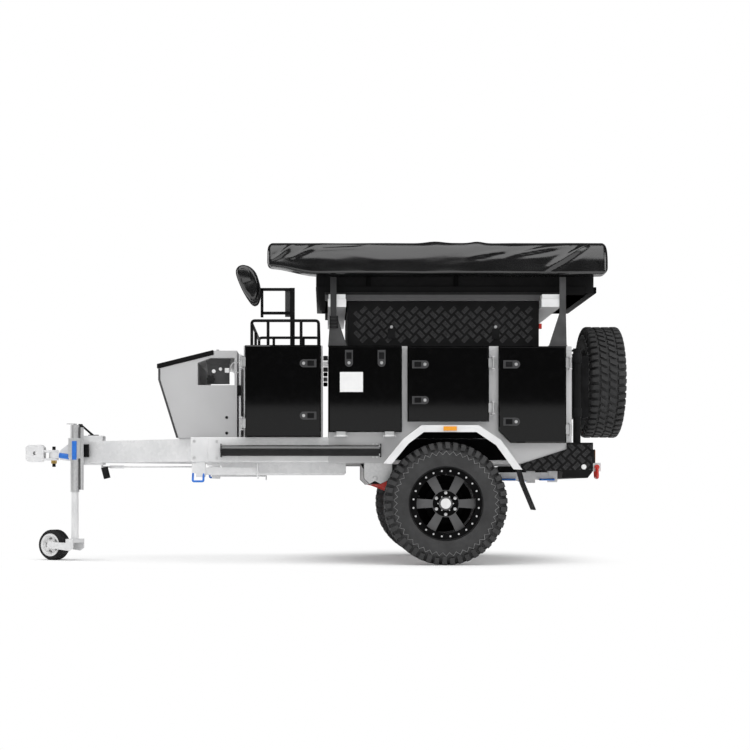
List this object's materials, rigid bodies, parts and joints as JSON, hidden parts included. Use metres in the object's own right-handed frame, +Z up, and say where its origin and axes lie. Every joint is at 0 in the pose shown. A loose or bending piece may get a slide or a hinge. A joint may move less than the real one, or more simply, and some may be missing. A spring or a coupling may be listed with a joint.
{
  "type": "off-road camper trailer",
  "caption": "Box-bodied off-road camper trailer with side lockers, nose box, roof tent, awning bag, rear spare gate and jockey wheel; towed behind a vehicle.",
  "frame": {"origin": "on the ground under the middle of the trailer's box", "axes": "+X forward to the coupling, +Y to the trailer's left, +Z up"},
  "size_m": [4.2285, 1.88, 2.1898],
  "materials": {
    "galvanised_steel": "satin",
    "silver_panel": "satin",
    "gloss_black": "gloss",
    "black_tread_plate": "matte",
    "black_steel": "satin",
    "red_steel": "satin",
    "damper_body": "satin",
    "tyre_rubber": "matte",
    "black_alloy": "satin",
    "white_plastic": "satin",
    "black_rubber": "matte",
    "amber_lens": "gloss",
    "red_lens": "gloss",
    "tent_board": "matte",
    "tank_steel": "satin",
    "black_cover": "satin"
  },
  "bodies": {
    "trailer": {"chassis_rails": "galvanised_steel", "platform": "galvanised_steel", "drawbar": "galvanised_steel", "jockey_mast": "galvanised_steel", "leg_brackets": "galvanised_steel", "coupling_body": "galvanised_steel", "brake_rod": "galvanised_steel", "side_walls": "silver_panel", "cross_walls": "silver_panel", "body_floor": "silver_panel", "roof_deck": "silver_panel", "front_box": "silver_panel", "nose_box": "silver_panel", "mudguards": "silver_panel", "rack_beams": "silver_panel", "top_box": "black_tread_plate", "rear_bumper": "black_tread_plate", "arm_hangers": "black_steel", "rack_brackets": "black_steel", "basket": "black_steel", "handbrake_lever": "black_steel", "pole_tubes": "black_steel", "trailing_arms": "red_steel", "shackle": "red_steel", "dampers": "damper_body", "mud_flaps": "black_rubber", "air_springs": "black_rubber", "marker_lamps": "amber_lens", "tail_lamps": "red_lens", "tent_base": "tent_board", "water_tank": "tank_steel", "roof_tent": "black_cover", "awning_bag": "black_cover", "tool_bag": "black_cover"},
    "wheel_left": {"tyre_left": "tyre_rubber", "rim_left": "black_alloy"},
    "wheel_right": {"tyre_right": "tyre_rubber", "rim_right": "black_alloy"},
    "coupling": {"coupling_head": "galvanised_steel"},
    "jockey_leg": {"jockey_leg": "galvanised_steel"},
    "jockey_fork": {"jockey_fork": "galvanised_steel"},
    "jockey_wheel": {"jockey_hub": "white_plastic", "jockey_tyre": "black_rubber"},
    "nose_lid": {"nose_lid": "black_tread_plate"},
    "gate": {"spare_gate": "black_steel", "spare_tyre": "tyre_rubber", "spare_rim": "black_alloy"},
    "front_door_left": {"front_door_left": "gloss_black"},
    "front_door_right": {"front_door_right": "gloss_black"},
    "fold_door_left": {"fold_door_left": "gloss_black"},
    "fold_door_right": {"fold_door_right": "gloss_black"},
    "middle_door_left": {"middle_door_left": "gloss_black"},
    "middle_door_right": {"middle_door_right": "gloss_black"},
    "rear_door_left": {"rear_door_left": "gloss_black"},
    "rear_door_right": {"rear_door_right": "gloss_black"},
    "front_leg_left": {"front_leg_left": "galvanised_steel"},
    "front_leg_right": {"front_leg_right": "galvanised_steel"},
    "rear_leg_left": {"rear_leg_left": "galvanised_steel"},
    "rear_leg_right": {"rear_leg_right": "galvanised_steel"}
  },
  "joints": [
    {"name": "wheel_left_spin", "type": "hinge", "parent": "trailer", "child": "wheel_left", "pos_m": [-0.786, 0.7925, 0.4015], "axis": [0, 1, 0], "continuous": true},
    {"name": "wheel_right_spin", "type": "hinge", "parent": "trailer", "child": "wheel_right", "pos_m": [-0.786, -0.7925, 0.4015], "axis": [0, 1, 0], "continuous": true},
    {"name": "coupling_yaw", "type": "hinge", "parent": "trailer", "child": "coupling", "pos_m": [1.915, 0, 0.735], "axis": [0, 0, 1], "range_deg": [-40, 40]},
    {"name": "jockey_lift", "type": "slide", "parent": "trailer", "child": "jockey_leg", "axis": [0, 0, 1], "range_m": [0, 0.22]},
    {"name": "jockey_swivel", "type": "hinge", "parent": "jockey_leg", "child": "jockey_fork", "pos_m": [1.743, 0.15, 0.15], "axis": [0, 0, 1], "continuous": true},
    {"name": "jockey_wheel_spin", "type": "hinge", "parent": "jockey_fork", "child": "jockey_wheel", "pos_m": [1.89982, 0.0701, 0.106], "axis": [0.454, 0.891, 0], "continuous": true},
    {"name": "nose_lid_hinge", "type": "hinge", "parent": "trailer", "child": "nose_lid", "pos_m": [0.728, 0, 1.434], "axis": [0, -1, 0], "range_deg": [0, 80]},
    {"name": "gate_swing", "type": "hinge", "parent": "trailer", "child": "gate", "pos_m": [-1.665, 0.715, 1.2], "axis": [0, 0, -1], "range_deg": [0, 100]},
    {"name": "front_door_left_hinge", "type": "hinge", "parent": "trailer", "child": "front_door_left", "pos_m": [0.551, 0.806, 1.14], "axis": [0, 0, -1], "range_deg": [0, 100]},
    {"name": "fold_door_left_hinge", "type": "hinge", "parent": "trailer", "child": "fold_door_left", "pos_m": [-0.264, 0.806, 0.844], "axis": [-1, 0, 0], "range_deg": [0, 90]},
    {"name": "middle_door_left_hinge", "type": "hinge", "parent": "trailer", "child": "middle_door_left", "pos_m": [-1.103, 0.806, 1.19], "axis": [0, 0, 1], "range_deg": [0, 100]},
    {"name": "rear_door_left_hinge", "type": "hinge", "parent": "trailer", "child": "rear_door_left", "pos_m": [-1.61, 0.806, 1.12], "axis": [0, 0, 1], "range_deg": [0, 100]},
    {"name": "front_leg_left_fold", "type": "hinge", "parent": "trailer", "child": "front_leg_left", "pos_m": [0.82, 0.7275, 0.615], "axis": [0, -1, 0], "range_deg": [0, 90]},
    {"name": "rear_leg_left_fold", "type": "hinge", "parent": "trailer", "child": "rear_leg_left", "pos_m": [-1.526, 0.56, 0.583], "axis": [0, 1, 0], "range_deg": [0, 90]},
    {"name": "front_door_right_hinge", "type": "hinge", "parent": "trailer", "child": "front_door_right", "pos_m": [0.551, -0.806, 1.14], "axis": [0, 0, 1], "range_deg": [0, 100]},
    {"name": "fold_door_right_hinge", "type": "hinge", "parent": "trailer", "child": "fold_door_right", "pos_m": [-0.264, -0.806, 0.844], "axis": [1, 0, 0], "range_deg": [0, 90]},
    {"name": "middle_door_right_hinge", "type": "hinge", "parent": "trailer", "child": "middle_door_right", "pos_m": [-1.103, -0.806, 1.19], "axis": [0, 0, -1], "range_deg": [0, 100]},
    {"name": "rear_door_right_hinge", "type": "hinge", "parent": "trailer", "child": "rear_door_right", "pos_m": [-1.61, -0.806, 1.12], "axis": [0, 0, -1], "range_deg": [0, 100]},
    {"name": "front_leg_right_fold", "type": "hinge", "parent": "trailer", "child": "front_leg_right", "pos_m": [0.82, -0.7275, 0.615], "axis": [0, -1, 0], "range_deg": [0, 90]},
    {"name": "rear_leg_right_fold", "type": "hinge", "parent": "trailer", "child": "rear_leg_right", "pos_m": [-1.526, -0.56, 0.583], "axis": [0, 1, 0], "range_deg": [0, 90]}
  ]
}
